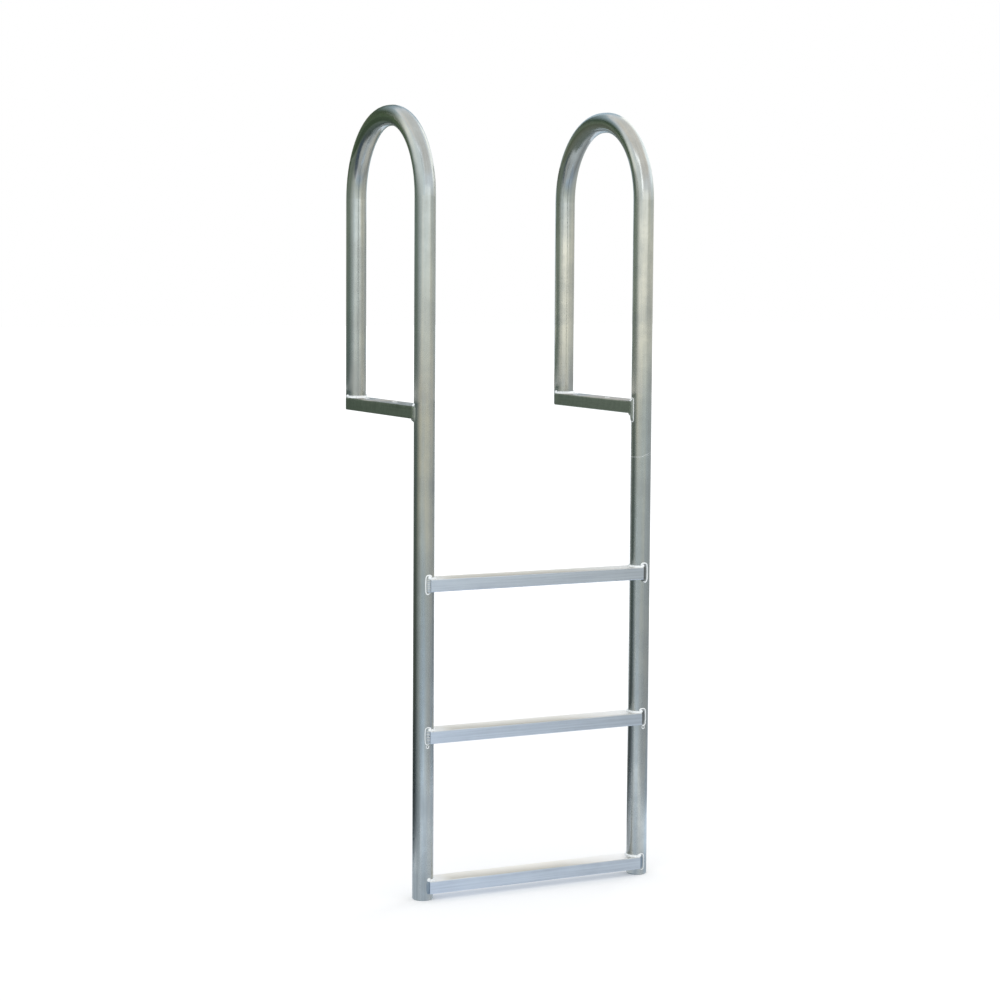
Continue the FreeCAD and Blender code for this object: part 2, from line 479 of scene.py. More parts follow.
def brushed_bracket():
    """Bracket tube: lines along it, mottled, cleaned white on top by the weld at its dock end, and with
    painted green shade on its sides.
    """
    finish, tree, shader, place = start_metal("brushed_bracket")
    x, y, _ = parts_of(tree, place)
    lines = brushed_lines(tree, place, 1, BRACKET_LINES)
    patches = carry(tree, noise(tree, place, BRACKET_PATCHES, *MOTTLED), *EVEN)
    dullness = weigh(tree, lines, BRACKET_LINES_SHARE, patches)
    behind = calc(tree, "SUBTRACT", y, REAR_Y)
    from_weld = length_of(tree, vector_of(tree, from_rail_plane(tree, x), behind, 0.0))
    cleaned = carry(tree, from_weld, *BRACKET_CLEANED, 1.0, 0.0)
    top_colour = blend(tree, dullness, BRACKET_TOP_BRIGHT, BRACKET_TOP_DULL)
    top_colour = blend(tree, cleaned, top_colour, CLEANED_AND_HIGHLIGHT)
    # Painted shade: the bracket's sides are darker and greener than its top
    painted_side_colour = blend(tree, dullness, BRACKET_SHADED_SIDE_BRIGHT, BRACKET_SHADED_SIDE_DULL)
    colour = blend(tree, facing_up(tree), painted_side_colour, top_colour)
    roughness = carry(tree, dullness, 0.0, 1.0, *BRACKET_GLOSS)
    finish_metal(tree, shader, colour, roughness, lines, BRACKET_RELIEF)
    return finish


def toned_and_shaded_bead(tree, place, colour):
    """Makes a bead greener at the brackets and bluer at the lowest step, with painted shade darkening it
    at the right rail's steps.
    """
    x, _, z = parts_of(tree, place)
    colour = blend(tree, carry(tree, z, *TONE_CHANGE, 0.0, GREEN_SHARE), colour, BEAD_GREEN)
    # Painted shade: the beads at the right rail's steps are darkened nearly to black
    to_right = carry(tree, x, MIDDLE_X - SHADE_MIDDLE, MIDDLE_X + SHADE_MIDDLE, 0.0, PAINTED_SHADE_SHARE)
    painted_shade = calc(tree, "MULTIPLY", to_right, carry(tree, z, *TONE_CHANGE, 1.0, 0.0))
    colour = blend(tree, painted_shade, colour, BEAD_PAINTED_SHADE)
    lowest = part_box("step_1")[1][2]
    slate = carry(tree, z, lowest + SLATE_STOP[0], lowest + SLATE_STOP[1], 1.0, 0.0)
    return blend(tree, slate, colour, BEAD_SLATE)


def weld_metal(name, bright, dull, gloss, metallic, relief, bead_tones=None):
    """Weld metal, speckled, with painted shade in its grooves, and given the bead's tones and painted
    shade where a function for them is given.
    """
    finish, tree, shader, place = start_metal(name)
    shader.inputs["Metallic"].default_value = metallic
    specks = noise(tree, place, WELD_SPECKS, *FINE)
    speckle = carry(tree, specks, *PATCHY, 0.0, SPECKLE_SHARE)
    # Painted shade: darker where the surface curves inwards, in the grooves between ripples
    bend = tree.nodes.new("ShaderNodeNewGeometry").outputs["Pointiness"]
    groove_shade = carry(tree, bend, *GROOVED, GROOVE_SHADE_SHARE, 0.0)
    colour = blend(tree, calc(tree, "ADD", speckle, groove_shade), bright, dull)
    if bead_tones:
        colour = bead_tones(tree, place, colour)
    roughness = carry(tree, speckle, 0.0, 1.0, *gloss)
    finish_metal(tree, shader, colour, roughness, specks, relief)
    return finish


def dress(node, finish):
    """Gives every slot of a solid the finish."""
    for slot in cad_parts[node].material_slots:
        slot.material = finish


pipe_finish = drawn_pipe()
bracket_finish = brushed_bracket()
step_finish = brushed_step()
bead_finish = weld_metal(
    "weld_ripples", BEAD_BRIGHT, BEAD_DULL, RIPPLE_GLOSS, RIPPLE_METAL, RIPPLE_RELIEF, toned_and_shaded_bead)
# Painted highlight: rims, blobs, top ripples, ropes, scratches and hole lips get near-white, hardly
# metallic weld metal, so that they look white
rim_highlight_finish = weld_metal("weld_rim_highlight", RIM_HIGHLIGHT_WHITE, RIM_HIGHLIGHT_DULL, RIM_GLOSS, RIM_METAL, RIM_RELIEF)

for side in SIDES:
    dress(f"{side}_rail", pipe_finish)
    dress(f"{side}_bracket", bracket_finish)
for number in STEPS:
    dress(f"step_{number}", step_finish)


def joint_at(leg, towards, tube_top):
    """Axes of a joint: X from the pipe's axis along the tube, Z up from the tube's top."""
    turn = Matrix((towards, UP.cross(towards), UP)).transposed().to_4x4()
    return Matrix.Translation((leg.x, leg.y, tube_top)) @ turn


def in_mm(x, y, z):
    """A place given in millimetres."""
    return Vector((x * MM, y * MM, z * MM))


def stops_along(joint, keys, pitch):
    """Even stops on a line of (place, facing) keys: each one's place, its way along and its facing."""
    turn = joint.to_3x3()
    spans = [(after[0] - before[0]).length for before, after in zip(keys, keys[1:])]
    count = round(sum(spans) / pitch) + 1
    stops = []
    for number in range(count):
        rest = sum(spans) * number / (count - 1)
        index = 0
        while rest > spans[index] and index < len(spans) - 1:
            rest -= spans[index]
            index += 1
        (start, start_facing), (end, end_facing) = keys[index], keys[index + 1]
        along = (end - start).normalized()
        facing = start_facing.lerp(end_facing, rest / spans[index])
        facing = (facing - facing.dot(along) * along).normalized()
        stops.append((joint @ start.lerp(end, rest / spans[index]), turn @ along, turn @ facing))
    return stops


def weld_drop():
    """The drop of metal that every ripple is copied from, one metre in radius and with a slight lip."""
    bpy.ops.object.select_all(action="DESELECT")
    bpy.ops.mesh.primitive_uv_sphere_add(segments=16, ring_count=10, radius=1, location=(0, 0, 0))
    shape = bpy.context.object
    bpy.ops.object.mode_set(mode="EDIT")
    bpy.ops.mesh.select_all(action="DESELECT")
    bpy.ops.object.mode_set(mode="OBJECT")
    for corner in shape.data.vertices:
        corner.select = corner.co.x > LIP_START
    bpy.ops.object.mode_set(mode="EDIT")
    bpy.ops.transform.resize(value=LIP_SIZE, center_override=LIP_CENTRE)
    bpy.ops.object.mode_set(mode="OBJECT")
    return shape


drop = weld_drop()


def copy_drop(place, turn, size):
    """One drop of metal with its own mesh, put at its place."""
    ripple = drop.copy()
    ripple.data = drop.data.copy()
    ripple.data.transform(Matrix.LocRotScale(place, turn, Vector(size)))
    bpy.context.scene.collection.objects.link(ripple)
    return ripple


def lay_ripples(stops, size, proud, chance):
    """Flattened drops, each tipped over the one before it, like a row of fallen coins."""
    ripples = []
    for place, along, facing in stops:
        across = facing.cross(along)
        tipped = Matrix.Rotation(RIPPLE_TILT + chance.uniform(*TILT_CHANGE), 3, across)
        turn = tipped @ Matrix((along, across, facing)).transposed()
        swell = chance.uniform(*RIPPLE_SWELL)
        sunk = place - facing * (size[2] * swell - proud)
        ripples.append(copy_drop(sunk, turn.to_quaternion(), [length * swell for length in size]))
    return ripples


def melt_together(parts, finish):
    """Joins overlapping lumps and melts them into one closed skin."""
    select_only(parts)
    bpy.ops.object.join()
    bpy.ops.object.transform_apply(location=True, rotation=True, scale=True)
    lump = bpy.context.object
    melt = lump.modifiers.new("melt", "REMESH")
    melt.mode = "VOXEL"
    melt.voxel_size = WELD_GRAIN
    bpy.ops.object.modifier_apply(modifier=melt.name)
    soften = lump.modifiers.new("soften", "SMOOTH")
    soften.iterations = WELD_SOFTENING
    bpy.ops.object.modifier_apply(modifier=soften.name)
    bpy.ops.object.shade_smooth()
    lump.data.materials.clear()
    lump.data.materials.append(finish)
    return lump


def side_ripples(joint, side, laid, chance):
    """The upright bead between the pipe and one side wall of the tube, from its top down to its foot."""
    middle = (TUBE_TOE - laid.toe) / 2
    reach = (TUBE_TOE + laid.toe) / 2 + BEAD_LAP
    # Each stop in millimetres along the tube, out from its middle and up from its top, and its facing
    line = [
        (middle + laid.turn, 21.0, laid.top - 3, (-0.3, 0.8, 0.5)),
        (middle + laid.turn / 4, 22.2, laid.top - 8, (-0.4, 0.88, 0.15)),
        (middle, 22.6, -5, (-0.44, 0.9, 0)),
        (middle, 22.6, laid.foot + 11, (-0.44, 0.9, 0)),
        (middle + laid.turn / 4, 22.2, laid.foot + 7, (-0.4, 0.88, -0.15)),
        (middle + laid.turn, 21.0, laid.foot + 3, (-0.3, 0.8, -0.5)),
    ]
    keys = []
    for x, y, z, facing in line:
        keys.append((in_mm(x, y * side, z), Vector((facing[0], facing[1] * side, facing[2]))))
    size = (RIPPLE_LENGTH, reach * MM, RIPPLE_THICKNESS)
    return lay_ripples(stops_along(joint, keys, laid.pitch * MM), size, RIPPLE_PROUD, chance)


def ring_ripples(joint, leg, height, rise, pitch, size, chance):
    """The bead round the pipe on a flat of the tube at this height, rising or hanging on the pipe."""
    radius = PIPE_RADIUS + leg / 2
    side_room = BAR_WIDTH / 2 - RING_SIDE_ROOM * math.hypot(size[1], size[2])
    reach = math.asin(min(side_room / radius, RING_REACH))
    keys = []
    for number in range(RING_KEYS + 1):
        angle = reach * (2 * number / RING_KEYS - 1)
        way = Vector((math.cos(angle), math.sin(angle), 0))
        keys.append((way * radius + UP * (height + rise * leg / 2), (way + UP * rise).normalized()))
    return lay_ripples(stops_along(joint, keys, pitch), size, RING_PROUD, chance)


def start_blob(joint, side, radius):
    """The blob on the corner of the tube where the upright bead was begun."""
    centre = joint @ in_mm(BLOB_END - radius, BLOB_SIDE * side, radius - BLOB_SUNK)
    return copy_drop(centre, joint.to_quaternion(), [radius * MM] * 3)


def lay_rope(name, points, radii):
    """A smooth rope along these points, in near-white weld metal that paints a highlight."""
    curve = bpy.data.curves.new(name, "CURVE")
    curve.dimensions = "3D"
    curve.bevel_depth = 1.0
    curve.bevel_resolution = 2
    curve.resolution_u = 5
    curve.use_fill_caps = True
    line = curve.splines.new("NURBS")
    line.points.add(len(points) - 1)
    for point, place, radius in zip(line.points, points, radii):
        point.co = (*place, 1)
        point.radius = radius
    line.use_endpoint_u = True
    line.order_u = 3
    rope = bpy.data.objects.new(name, curve)
    bpy.context.scene.collection.objects.link(rope)
    select_only([rope])
    bpy.ops.object.convert(target="MESH")
    rope = bpy.context.object
    bpy.ops.object.shade_smooth()
    rope.data.materials.append(rim_highlight_finish)
    return rope


def on_pipe(joint, side, x, height):
    """A place just off the pipe's surface, in millimetres along the tube and up from its top."""
    away = PIPE_RADIUS / MM + ROPE_PROUD
    return joint @ in_mm(x, side * math.sqrt(away ** 2 - x ** 2), height)


def bead_rim(joint, side, laid, chance):
    """The bright raised toe of an upright bead: a curl over its blob, an edge, and a hook at its foot."""
    top = laid.top
    foot = laid.foot
    toe = laid.toe
    curl = [(5.8, 2.8), (7.6, 4.6), (6.4, top - 1.2), (3.2, top)]
    upper_edge = [(-0.5 * toe, top - 0.4), (-0.9 * toe, top - 3.2), (-toe, top - 8)]
    lower_edge = [(-1.04 * toe, (top + foot) / 2), (-toe, foot + 7), (-0.85 * toe, foot + 2.6)]
    hook = [(-0.4 * toe, foot + 0.4), (0.8, foot + 0.3), (2.6, foot + 2.2)]
    places = [on_pipe(joint, side, x, height) for x, height in curl + upper_edge + lower_edge + hook]
    radii = [laid.rim * MM * chance.uniform(*RIM_SWELL) for _ in places]
    radii[1:4] = [CURL_SWELL * radius for radius in radii[1:4]]
    radii[-1] *= HOOK_TAPER
    return lay_rope("rim", places, radii)


def end_loop(joint, side, laid, chance):
    """The small loop of metal on the pipe where the arc was broken off under the bead."""
    line = [(-2.8, -1.2), (-3.4, -4.2), (-1.4, -6.6), (1.2, -6.4), (2.4, -4.4), (2.2, -1.6)]
    places = [on_pipe(joint, side, x, laid.foot + height) for x, height in line]
    radii = [END_LOOP_ROPE * chance.uniform(*LOOP_SWELL) for _ in places]
    return lay_rope("loop", places, radii)


def lay_weld(node, joint, laid, seed, bead_under=False, skirt=False):
    """The whole weld of one joint in place of its plain solid."""
    chance = random.Random(seed)
    body = []
    bright = []
    ropes = []
    for side in (-1, 1):
        body += side_ripples(joint, side, laid, chance)
        bright.append(start_blob(joint, side, laid.blob))
        if laid.rim:
            ropes.append(bead_rim(joint, side, laid, chance))
        if laid.loop:
            ropes.append(end_loop(joint, side, laid, chance))
    top_size = SKIRT_RIPPLE_SIZE if skirt else TOP_RIPPLE_SIZE
    bright += ring_ripples(joint, TOP_LEG, 0, 1, TOP_PITCH, top_size, chance)
    if bead_under:
        body += ring_ripples(joint, UNDER_LEG, -BAR_HEIGHT, -1, UNDER_PITCH, UNDER_RIPPLE_SIZE, chance)
    select_only([melt_together(body, bead_finish), melt_together(bright, rim_highlight_finish), *ropes])
    bpy.ops.object.join()
    bead = bpy.context.object
    bead.name = f"{node}_bead"
    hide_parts(node)
    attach(bead, "root")


# How each weld's upright beads were laid, in millimetres: their top and foot above the tube's top, their
# toe on the pipe past its axis, the pitch of their ripples, how far their ends turn in to the tube, the
# radius of the blob on the tube's corner, the thickness of their rim, and whether a loop was left below
Laid = namedtuple("Laid", "top foot toe pitch turn blob rim loop")
STEP_WELDS = {
    (1, "left"): Laid(4.5, -27, 3.4, 3.0, 0.2, 4.3, 0, False),
    (2, "left"): Laid(8, -27.5, 5.4, 5.6, 1.0, 3.8, 0.8, True),
    (3, "left"): Laid(8.5, -30, 5.3, 4.0, 1.6, 4.4, 1.25, False),
    (1, "right"): Laid(6, -28, 5.6, 3.6, 1.6, 3.8, 0.8, False),
    (2, "right"): Laid(8.5, -27.5, 6.0, 4.2, 1.6, 3.8, 1.3, True),
    (3, "right"): Laid(8.5, -31.5, 6.0, 4.2, 1.6, 3.8, 1.4, False),
}
FRONT_WELDS = {
    "left": Laid(4, -34, 5.0, 2.8, 1.6, 3.4, 0, False),
    "right": Laid(7, -43, 4.2, 3.0, 1.6, 3.4, 0.65, False),
}
REAR_WELDS = {
    "left": Laid(5, -24, 5.5, 3.0, 1.6, 3.6, 0, False),
    "right": Laid(4, -20, 5.5, 3.0, 1.6, 3.6, 0, False),
}

# Seeds of the welds: ten for each step's number, fifty or sixty at a bracket, and so much for the side
SIDE_SEEDS = {"left": 4, "right": 5}
FRONT_SEED = 50
REAR_SEED = 60

for side, towards in (("left", Vector((1, 0, 0))), ("right", Vector((-1, 0, 0)))):
    for number in STEPS:
        joint = joint_at(LEGS[side, "long"], towards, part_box(f"step_{number}")[1][2])
        seed = 10 * number + SIDE_SEEDS[side]
        lay_weld(f"step_{number}_{side}_weld", joint, STEP_WELDS[number, side], seed)
    joint = joint_at(LEGS[side, "long"], TO_DOCK, BAR_HEIGHT)
    seed = FRONT_SEED + SIDE_SEEDS[side]
    lay_weld(f"{side}_bracket_front_weld", joint, FRONT_WELDS[side], seed, bead_under=True)
    joint = joint_at(LEGS[side, "short"], -TO_DOCK, BAR_HEIGHT)
    seed = REAR_SEED + SIDE_SEEDS[side]
    lay_weld(f"{side}_bracket_rear_weld", joint, REAR_WELDS[side], seed, skirt=True)
bpy.data.objects.remove(drop)


def score_pipe(name, leg, marks, radius):
    """A scratch raised on a leg, along marks at these angles and heights."""
    places = []
    for degrees, height in marks:
        way = Vector((math.cos(math.radians(degrees)), math.sin(math.radians(degrees)), 0))
        places.append(leg + way * PIPE_RADIUS + UP * (height * MM))
    scratch = lay_rope(name, places, [radius] * len(places))
    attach(scratch, "root")


# The pipe cutter's mark on the right rail runs level, then climbs in two lines
level_mark = [(degrees, MARK_HEIGHT) for degrees in range(MARK_START, CLIMB_START, MARK_STEP)]
climb = [
    (degrees, MARK_HEIGHT + CLIMB * (degrees - CLIMB_START))
    for degrees in range(CLIMB_START, MARK_END, MARK_STEP)
]
second_climb = [
    (degrees, SECOND_HEIGHT + SECOND_CLIMB * (degrees - SECOND_START))
    for degrees in range(SECOND_START, MARK_END, MARK_STEP)
]
score_pipe("right_rail_cutter_mark", LEGS["right", "long"], level_mark + climb, MARK_ROPE)
score_pipe("right_rail_second_mark", LEGS["right", "long"], second_climb, SECOND_ROPE)


def raise_lip(x, y):
    """The pushed up lip of a bolt hole: a ring, stretched upright, in near-white metal that paints a
    highlight.
    """
    bpy.ops.object.select_all(action="DESELECT")
    bpy.ops.mesh.primitive_torus_add(
        major_segments=40, minor_segments=10, major_radius=HOLE_RADIUS + BURR_OUT, minor_radius=BURR_ROPE,
        location=(x, y, BAR_HEIGHT))
    shape = bpy.context.object
    bpy.ops.object.mode_set(mode="EDIT")
    bpy.ops.mesh.select_all(action="SELECT")
    bpy.ops.transform.resize(value=(1, 1, BURR_STRETCH), center_override=(x, y, BAR_HEIGHT))
    bpy.ops.object.mode_set(mode="OBJECT")
    bpy.ops.object.transform_apply(location=True, rotation=True, scale=True)
    bpy.ops.object.shade_smooth()
    shape.data.materials.append(rim_highlight_finish)
    return shape


first_lip = raise_lip(LEFT_X, -HOLE_PLACE)
for side in SIDES:
    for end, hole_y in (("front", -HOLE_PLACE), ("rear", HOLE_PLACE)):
        lip = first_lip.copy()
        lip.data = first_lip.data.copy()
        lip.name = f"{side}_{end}_hole_lip"
        away = Vector((LEGS[side, "long"].x - LEFT_X, hole_y + HOLE_PLACE, 0))
        lip.data.transform(Matrix.Translation(away))
        bpy.context.scene.collection.objects.link(lip)
        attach(lip, "root")
bpy.data.objects.remove(first_lip)


# The camera's turn from the dock side towards the right, its tilt down and its roll, in degrees
CAMERA_TURN = 26.4817
CAMERA_TILT = 4.873
CAMERA_ROLL = 0.3386
CAMERA_PLACE = (-2.0384, -4.5794, 0.3098)
CAMERA_LENS = 87.7955
CAMERA_SENSOR = 36
CAMERA_SHIFT = (0.0142, -0.03)

# The world and the floor: how strongly they light, and how they look to the camera and in the metal
WORLD_LIGHT = 0.9
WORLD_SEEN = 1.0
FLOOR_SIZE = 80
FLOOR_COLOUR = (0.85, 0.86, 0.87)
FLOOR_SEEN = (1, 1, 1, 1)
FLOOR_MIRRORED = (0.58, 0.77, 1.0, 1)
FLOOR_FADE = (1.5, 5.0)
FLOOR_GLOW = (0.17, 0.4)

# The middle of the screens, the faces of a full ring, and how finely a level one is cut to leave so much
# room round the legs
SCREEN_CENTRE = (0.15, -0.1)
SCREEN_FACES = 180
SCREEN_CUTS = 14
LEG_ROOM = 70 * MM


def set_camera():
    """The camera, close to the place that the picture was taken from."""
    turn, tilt, roll = (math.radians(degrees) for degrees in (CAMERA_TURN, CAMERA_TILT, CAMERA_ROLL))
    ahead = Vector((math.sin(turn) * math.cos(tilt), math.cos(turn) * math.cos(tilt), -math.sin(tilt)))
    level = Vector((math.cos(turn), -math.sin(turn), 0))
    above = level.cross(ahead)
    right = math.cos(roll) * level + math.sin(roll) * above
    axes = Matrix((right, right.cross(ahead), -ahead)).transposed().to_4x4()
    camera = bpy.data.cameras.new("camera")
    camera.sensor_width = CAMERA_SENSOR
    camera.lens = CAMERA_LENS
    camera.shift_x, camera.shift_y = CAMERA_SHIFT
    holder = bpy.data.objects.new("camera", camera)
    holder.matrix_world = Matrix.Translation(CAMERA_PLACE) @ axes
    bpy.context.scene.collection.objects.link(holder)
    bpy.context.scene.camera = holder


def seen_or_mirrored(tree):
    """1 for rays from the camera and for those that metal or glass sends on, otherwise 0."""
    rays = tree.nodes.new("ShaderNodeLightPath")
    both = calc(tree, "MAXIMUM", rays.outputs["Is Camera Ray"], rays.outputs["Is Glossy Ray"])
    return calc(tree, "MAXIMUM", both, rays.outputs["Is Transmission Ray"])


def set_world():
    """White where it is seen or mirrored, and softer as a light."""
    world = bpy.data.worlds.new("studio")
    world.use_nodes = True
    tree = world.node_tree
    background = tree.nodes["Background"]
    background.inputs["Color"].default_value = (1, 1, 1, 1)
    strength = carry(tree, seen_or_mirrored(tree), 0.0, 1.0, WORLD_LIGHT, WORLD_SEEN)
    tree.links.new(strength, background.inputs["Strength"])
    bpy.context.scene.world = world


def plain_surface(name, colour):
    """A dull material, its tree and its shader."""
    finish = bpy.data.materials.new(name)
    finish.use_nodes = True
    shader = finish.node_tree.nodes["Principled BSDF"]
    shader.inputs["Base Color"].default_value = (*colour, 1)
    shader.inputs["Roughness"].default_value = 0.9
    shader.inputs["Specular IOR Level"].default_value = 0.0
    return finish, finish.node_tree, shader


def lay_floor():
    """A pale floor with the ladder's shadow, at the rails' feet: white where seen, bluer in the metal."""
    bpy.ops.object.select_all(action="DESELECT")
    bpy.ops.mesh.primitive_plane_add(size=FLOOR_SIZE, location=(0, 0, FLOOR_Z))
    floor = bpy.context.object
    floor.name = "floor"
    finish, tree, shader = plain_surface("pale_floor", FLOOR_COLOUR)
    distance = length_of(tree, object_place(tree))
    glow = carry(tree, distance, *FLOOR_FADE, *FLOOR_GLOW)
    seen = tree.nodes.new("ShaderNodeLightPath").outputs["Is Camera Ray"]
    tree.links.new(blend(tree, seen, FLOOR_MIRRORED, FLOOR_SEEN), shader.inputs["Emission Color"])
    strength = calc(tree, "MULTIPLY", seen_or_mirrored(tree), glow)
    tree.links.new(strength, shader.inputs["Emission Strength"])
    floor.data.materials.append(finish)


def hang_lamp(name, place, aim, size, power, colour):
    """A soft square lamp that is aimed at a place."""
    lamp = bpy.data.lights.new(name, "AREA")
    lamp.size = size
    lamp.energy = power
    lamp.color = colour
    holder = bpy.data.objects.new(name, lamp)
    holder.location = place
    holder.rotation_euler = (Vector(aim) - Vector(place)).to_track_quat("-Z", "Y").to_euler()
    bpy.context.scene.collection.objects.link(holder)


def cut_ring(name, radii, angles, heights):
    """A piece of a ring or cone round the ladder, between two angles and two heights."""
    start, end = angles
    low, high = heights
    bpy.ops.object.select_all(action="DESELECT")
    bpy.ops.mesh.primitive_cone_add(
        vertices=SCREEN_FACES, radius1=radii[0], radius2=radii[1], depth=high - low,
        end_fill_type="NOTHING", location=(*SCREEN_CENTRE, (low + high) / 2))
    screen = bpy.context.object
    screen.name = name
    bpy.ops.object.mode_set(mode="EDIT")
    bpy.ops.mesh.select_mode(type="FACE")
    bpy.ops.mesh.select_all(action="DESELECT")
    bpy.ops.object.mode_set(mode="OBJECT")
    for face in screen.data.polygons:
        angle = math.degrees(math.atan2(-face.center.x, face.center.y))
        face.select = (angle - start) % 360 > end - start
    bpy.ops.object.mode_set(mode="EDIT")
    bpy.ops.mesh.delete(type="FACE")
    bpy.ops.object.mode_set(mode="OBJECT")
    return screen


def clear_round_legs(screen):
    """Opens a level screen where the ladder's legs pass through it."""
    bpy.ops.object.mode_set(mode="EDIT")
    bpy.ops.mesh.select_all(action="SELECT")
    bpy.ops.mesh.subdivide(number_cuts=SCREEN_CUTS)
    bpy.ops.mesh.select_all(action="DESELECT")
    bpy.ops.object.mode_set(mode="OBJECT")
    for face in screen.data.polygons:
        place = screen.location + face.center
        face.select = any((place - leg).xy.length < LEG_ROOM for leg in LEGS.values())
    bpy.ops.object.mode_set(mode="EDIT")
    bpy.ops.mesh.delete(type="FACE")
    bpy.ops.object.mode_set(mode="OBJECT")


def screen_glow(name, angles, height, low_colours, high_colours):
    """A glowing surface whose colour runs from angle to angle and from its lower to its upper edge."""
    start, end = angles
    finish, tree, shader = plain_surface(name, (0, 0, 0))
    x, y, z = parts_of(tree, object_place(tree))
    turned = calc(tree, "ARCTAN2", calc(tree, "MULTIPLY", x, -1.0), y)
    turned = calc(tree, "SUBTRACT", calc(tree, "MULTIPLY", turned, 180 / math.pi), start)
    turned = calc(tree, "FLOORED_MODULO", turned, 360.0)
    share = carry(tree, turned, 0.0, end - start)
    rise = carry(tree, z, -height / 2, height / 2)
    foot = blend(tree, share, *[(*colour, 1) for colour in low_colours])
    head = blend(tree, share, *[(*colour, 1) for colour in high_colours])
    tree.links.new(blend(tree, rise, foot, head), shader.inputs["Emission Color"])
    shader.inputs["Emission Strength"].default_value = 1.0
    return finish


def stand_screen(name, radii, angles, heights, low_colours, high_colours, around_legs=False):
    """A bent screen round the ladder that only the metal mirrors, with a colour for each corner."""
    screen = cut_ring(name, radii, angles, heights)
    if around_legs:
        clear_round_legs(screen)
    height = heights[1] - heights[0]
    screen.data.materials.append(screen_glow(name, angles, height, low_colours, high_colours))
    screen.visible_camera = False
    screen.visible_diffuse = False
    screen.visible_shadow = False


bpy.context.scene.view_settings.view_transform = "Standard"
set_camera()
set_world()
lay_floor()
hang_lamp("key", place=(4.6, 1.6, 2.6), aim=(0.25, 0, 0), size=3.0, power=45, colour=(1, 0.98, 0.96))
hang_lamp("fill", place=(-3.4, -3.4, 3.4), aim=(0.25, 0, -0.2), size=4.0, power=60, colour=(0.98, 0.99, 1))

# Tones of the screens
SHADE = (0.035, 0.045, 0.05)
DUSK = (0.13, 0.165, 0.135)
EVENING = (0.25, 0.30, 0.25)
TREES = (0.05, 0.085, 0.045)
DEEP = (0.19, 0.21, 0.17)
FERN = (0.55, 0.57, 0.49)
LEAVES = (0.09, 0.14, 0.075)
GLINT = (1.15, 1.2, 1.17)
PEBBLES = (0.68, 0.68, 0.65)
STONES = (0.26, 0.265, 0.26)
PEARL = (0.90, 0.93, 0.90)
HALF = (0.48, 0.50, 0.47)
WATER = (0.44, 0.52, 0.60)
BANK = (0.78, 0.77, 0.65)
DIM = (0.34, 0.36, 0.38)
DULL = (0.60, 0.60, 0.56)
GLOW = (1.65, 1.63, 1.54)
WARM = (0.98, 0.92, 0.85)
COOL = (0.55, 0.68, 0.77)
WHITE = (1.5, 1.5, 1.45)
GROUND = (0.20, 0.24, 0.27)
SLATE = (0.075, 0.105, 0.14)
GLEAM = (1.2, 1.12, 1.1)
WET = (1.24, 1.36, 1.48)
SAND = (0.62, 0.60, 0.55)
FOG = (0.22, 0.25, 0.25)
MIST = (0.36, 0.37, 0.34)
CLEAR = (1.0, 1.0, 0.98)
HAZE = (0.56, 0.57, 0.52)
DAMP = (0.42, 0.47, 0.53)
NEAR = (0.68, 0.74, 0.81)
NEARBY = (1.30, 1.42, 1.58)
DAMP_GROUND = (0.42, 0.46, 0.52)

# Heights of the screens' lower and upper edges, in metres
ON_FLOOR = (FLOOR_Z + 0.001, FLOOR_Z + 0.004)
OVER_FLOOR = (FLOOR_Z + 0.004, FLOOR_Z + 0.006)
ABOVE_FLOOR = (FLOOR_Z + 0.01, FLOOR_Z + 0.02)
AT_DECK = (0.0, 0.01)
OVER_DECK = (0.03, 0.04)
AT_CROWNS = (0.52, 0.522)
BELOW_DECK = (FLOOR_Z, -0.1)
DECK_TO_LOOPS = (-0.1, 0.5)
ROUND_LOOPS = (0.5, 1.0)
ABOVE_LOOPS = (1.0, 1.6)

# Lower and upper radius of the rings that more than one screen is cut from, in metres
UNDER_RING = (0.6, 1.25)
LOOP_RING = (1.25, 1.25)
TOP_RING = (1.25, 1.1)
SIDE_RING = (2.2, 2.2)
FAR_RING = (2.4, 2.4)

# Each screen's radii, its angles from the dock side over the left side, its heights, and the colours of
# its lower and its upper corners. First those over the floor
stand_screen("ground", (0.35, 1.2), (-60, 75), ABOVE_FLOOR, (GROUND, GROUND), (SHADE, SHADE))
stand_screen("ground_edge", (0.9, 2.2), (75, 150), ABOVE_FLOOR, (GROUND, WET), (SHADE, WATER))
stand_screen("wet_floor", (0.9, 2.4), (150, 205), ABOVE_FLOOR, (WET, DAMP), (WATER, DAMP))
stand_screen("damp_floor", (0.9, 2.2), (205, 312), ABOVE_FLOOR, (DAMP, DAMP), (DAMP, DAMP))
stand_screen("near_ground", (0.02, 0.35), (-70, 100), ON_FLOOR, (DAMP_GROUND, NEAR), (DAMP_GROUND, NEAR))
stand_screen("near_floor", (0.05, 0.5), (100, 290), ON_FLOOR, (NEAR, NEAR), (NEAR, NEAR))
stand_screen("nearby_floor", (0.5, 0.9), (100, 290), OVER_FLOOR, (NEAR, NEAR), (NEARBY, NEARBY))

# At the deck, behind and to the left
stand_screen("slate", (0.58, 1.2), (55, 104), AT_DECK, (SLATE, SLATE), (SLATE, SLATE))
stand_screen("gleam", (0.58, 1.2), (104, 124), AT_DECK, (SLATE, GLEAM), (SLATE, GLEAM))
stand_screen("sand", (0.22, 0.56), (55, 150), OVER_DECK, (SAND, SAND), (SAND, SAND), around_legs=True)

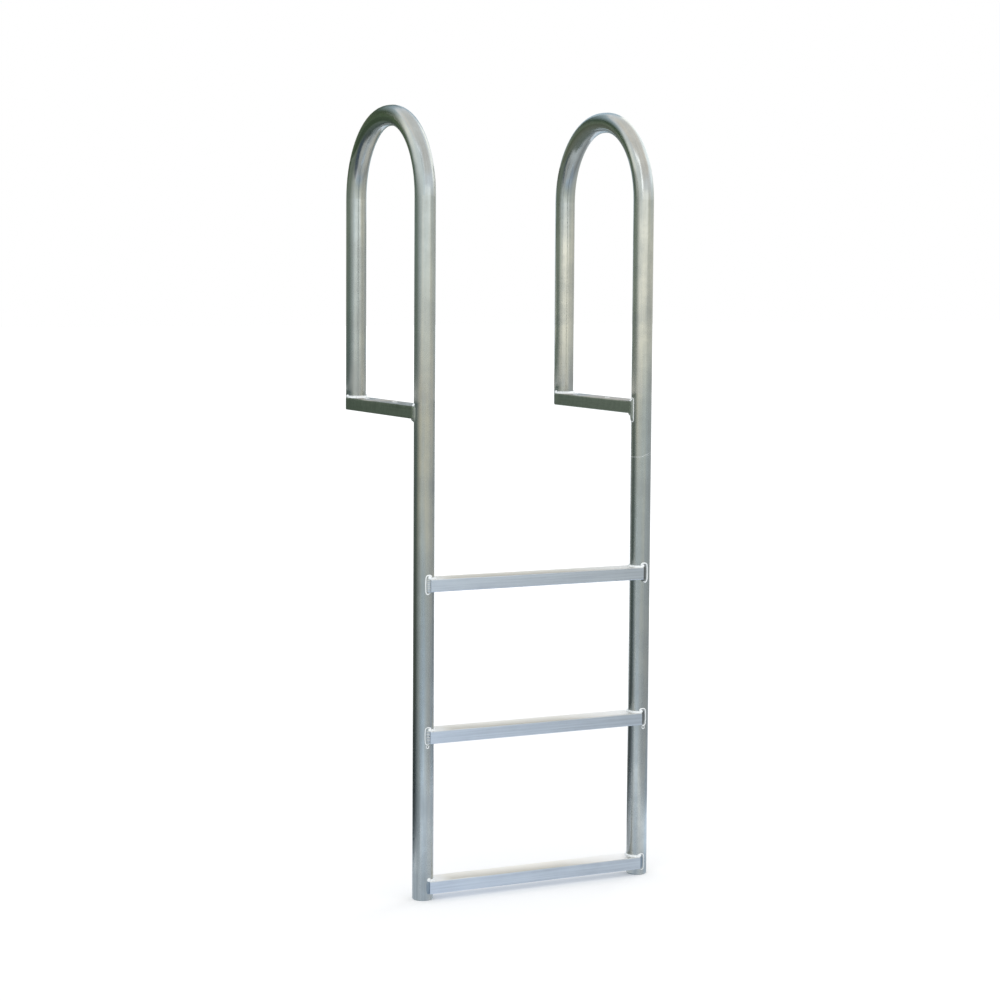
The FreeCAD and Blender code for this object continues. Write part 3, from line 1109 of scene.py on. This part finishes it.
# Upright, on the dock side
stand_screen("shade", UNDER_RING, (-8, 73), BELOW_DECK, (SHADE, SHADE), (DUSK, DUSK))
stand_screen("dusk", LOOP_RING, (-8, 70), DECK_TO_LOOPS, (DUSK, DUSK), (EVENING, EVENING))
stand_screen("mist", (0.75, 0.75), (-15, 24), (-0.95, -0.12), (FOG, FOG), (MIST, MIST))
stand_screen("haze", (0.5, 0.5), (-34, -12), (0.13, 0.40), (HAZE, HAZE), (DUSK, DUSK))

# Upright, behind the loops and round to their left
stand_screen("ferns", LOOP_RING, (-18, 26), ROUND_LOOPS, (FERN, LEAVES), (TREES, TREES))
stand_screen("leaves", LOOP_RING, (26, 37), ROUND_LOOPS, (LEAVES, LEAVES), (TREES, TREES))
stand_screen("leaf_tops", TOP_RING, (-18, 37), ABOVE_LOOPS, (TREES, TREES), (COOL, COOL))
stand_screen("leaf_edge", LOOP_RING, (37, 60), ROUND_LOOPS, (LEAVES, EVENING), (TREES, GLINT))
stand_screen("leaf_edge_tops", TOP_RING, (37, 60), ABOVE_LOOPS, (TREES, GLINT), (COOL, GLINT))
stand_screen("glint", LOOP_RING, (60, 90), ROUND_LOOPS, (EVENING, HALF), (GLINT, GLINT))
stand_screen("pearl", LOOP_RING, (90, 150), ROUND_LOOPS, (HALF, GLINT), (GLINT, PEARL))
stand_screen("pearl_tops", TOP_RING, (60, 150), ABOVE_LOOPS, (GLINT, PEARL), (GLINT, PEARL))

# Level, below the crowns of the loops and over the deck on the right
stand_screen(
    "shaded_crowns", (0.31, 1.25), (-54, 50), AT_CROWNS, (DEEP, TREES), (DEEP, TREES), around_legs=True)
stand_screen(
    "shaded_right_crown", (0.26, 0.365), (-80, -54), AT_CROWNS, (DEEP, DEEP), (DEEP, DEEP),
    around_legs=True)
stand_screen(
    "sand_right", (0.02, 0.42), (150, 415), OVER_DECK, (PEBBLES, PEBBLES), (PEBBLES, PEBBLES),
    around_legs=True)
stand_screen(
    "stones", (0.42, 0.95), (255, 350), OVER_DECK, (PEBBLES, PEBBLES), (STONES, STONES), around_legs=True)

# Upright and farther off, with those overhead last
stand_screen("far_sky", (1.4, 1.4), (-48, -8), (0.05, 1.6), (COOL, COOL), (COOL, COOL))
stand_screen("shade_edge", UNDER_RING, (73, 127), BELOW_DECK, (SHADE, WATER), (DUSK, BANK))
stand_screen("dusk_edge", LOOP_RING, (70, 125), DECK_TO_LOOPS, (DUSK, BANK), (EVENING, PEARL))
stand_screen("bank", FAR_RING, (120, 210), (FLOOR_Z, -0.05), (WATER, WATER), (BANK, BANK))
stand_screen("glow", FAR_RING, (120, 215), (-0.05, 0.9), (BANK, BANK), (GLOW, GLOW))
stand_screen("dim", SIDE_RING, (210, 312), (FLOOR_Z, 0.5), (DAMP, DIM), (BANK, DULL))
stand_screen("dim_tops", SIDE_RING, (210, 312), (0.5, 0.85), (BANK, DULL), (CLEAR, WHITE))
stand_screen("side_box", SIDE_RING, (250, 325), (0.85, 2.4), (WHITE, WHITE), (WHITE, WHITE))
stand_screen("warm_sky", (2.4, 1.6), (155, 250), (1.6, 2.8), (WARM, WARM), (WARM, WARM))
stand_screen("warm_top", (1.6, 0.05), (0, 360), (2.8, 3.2), (WARM, WARM), (WARM, WARM))
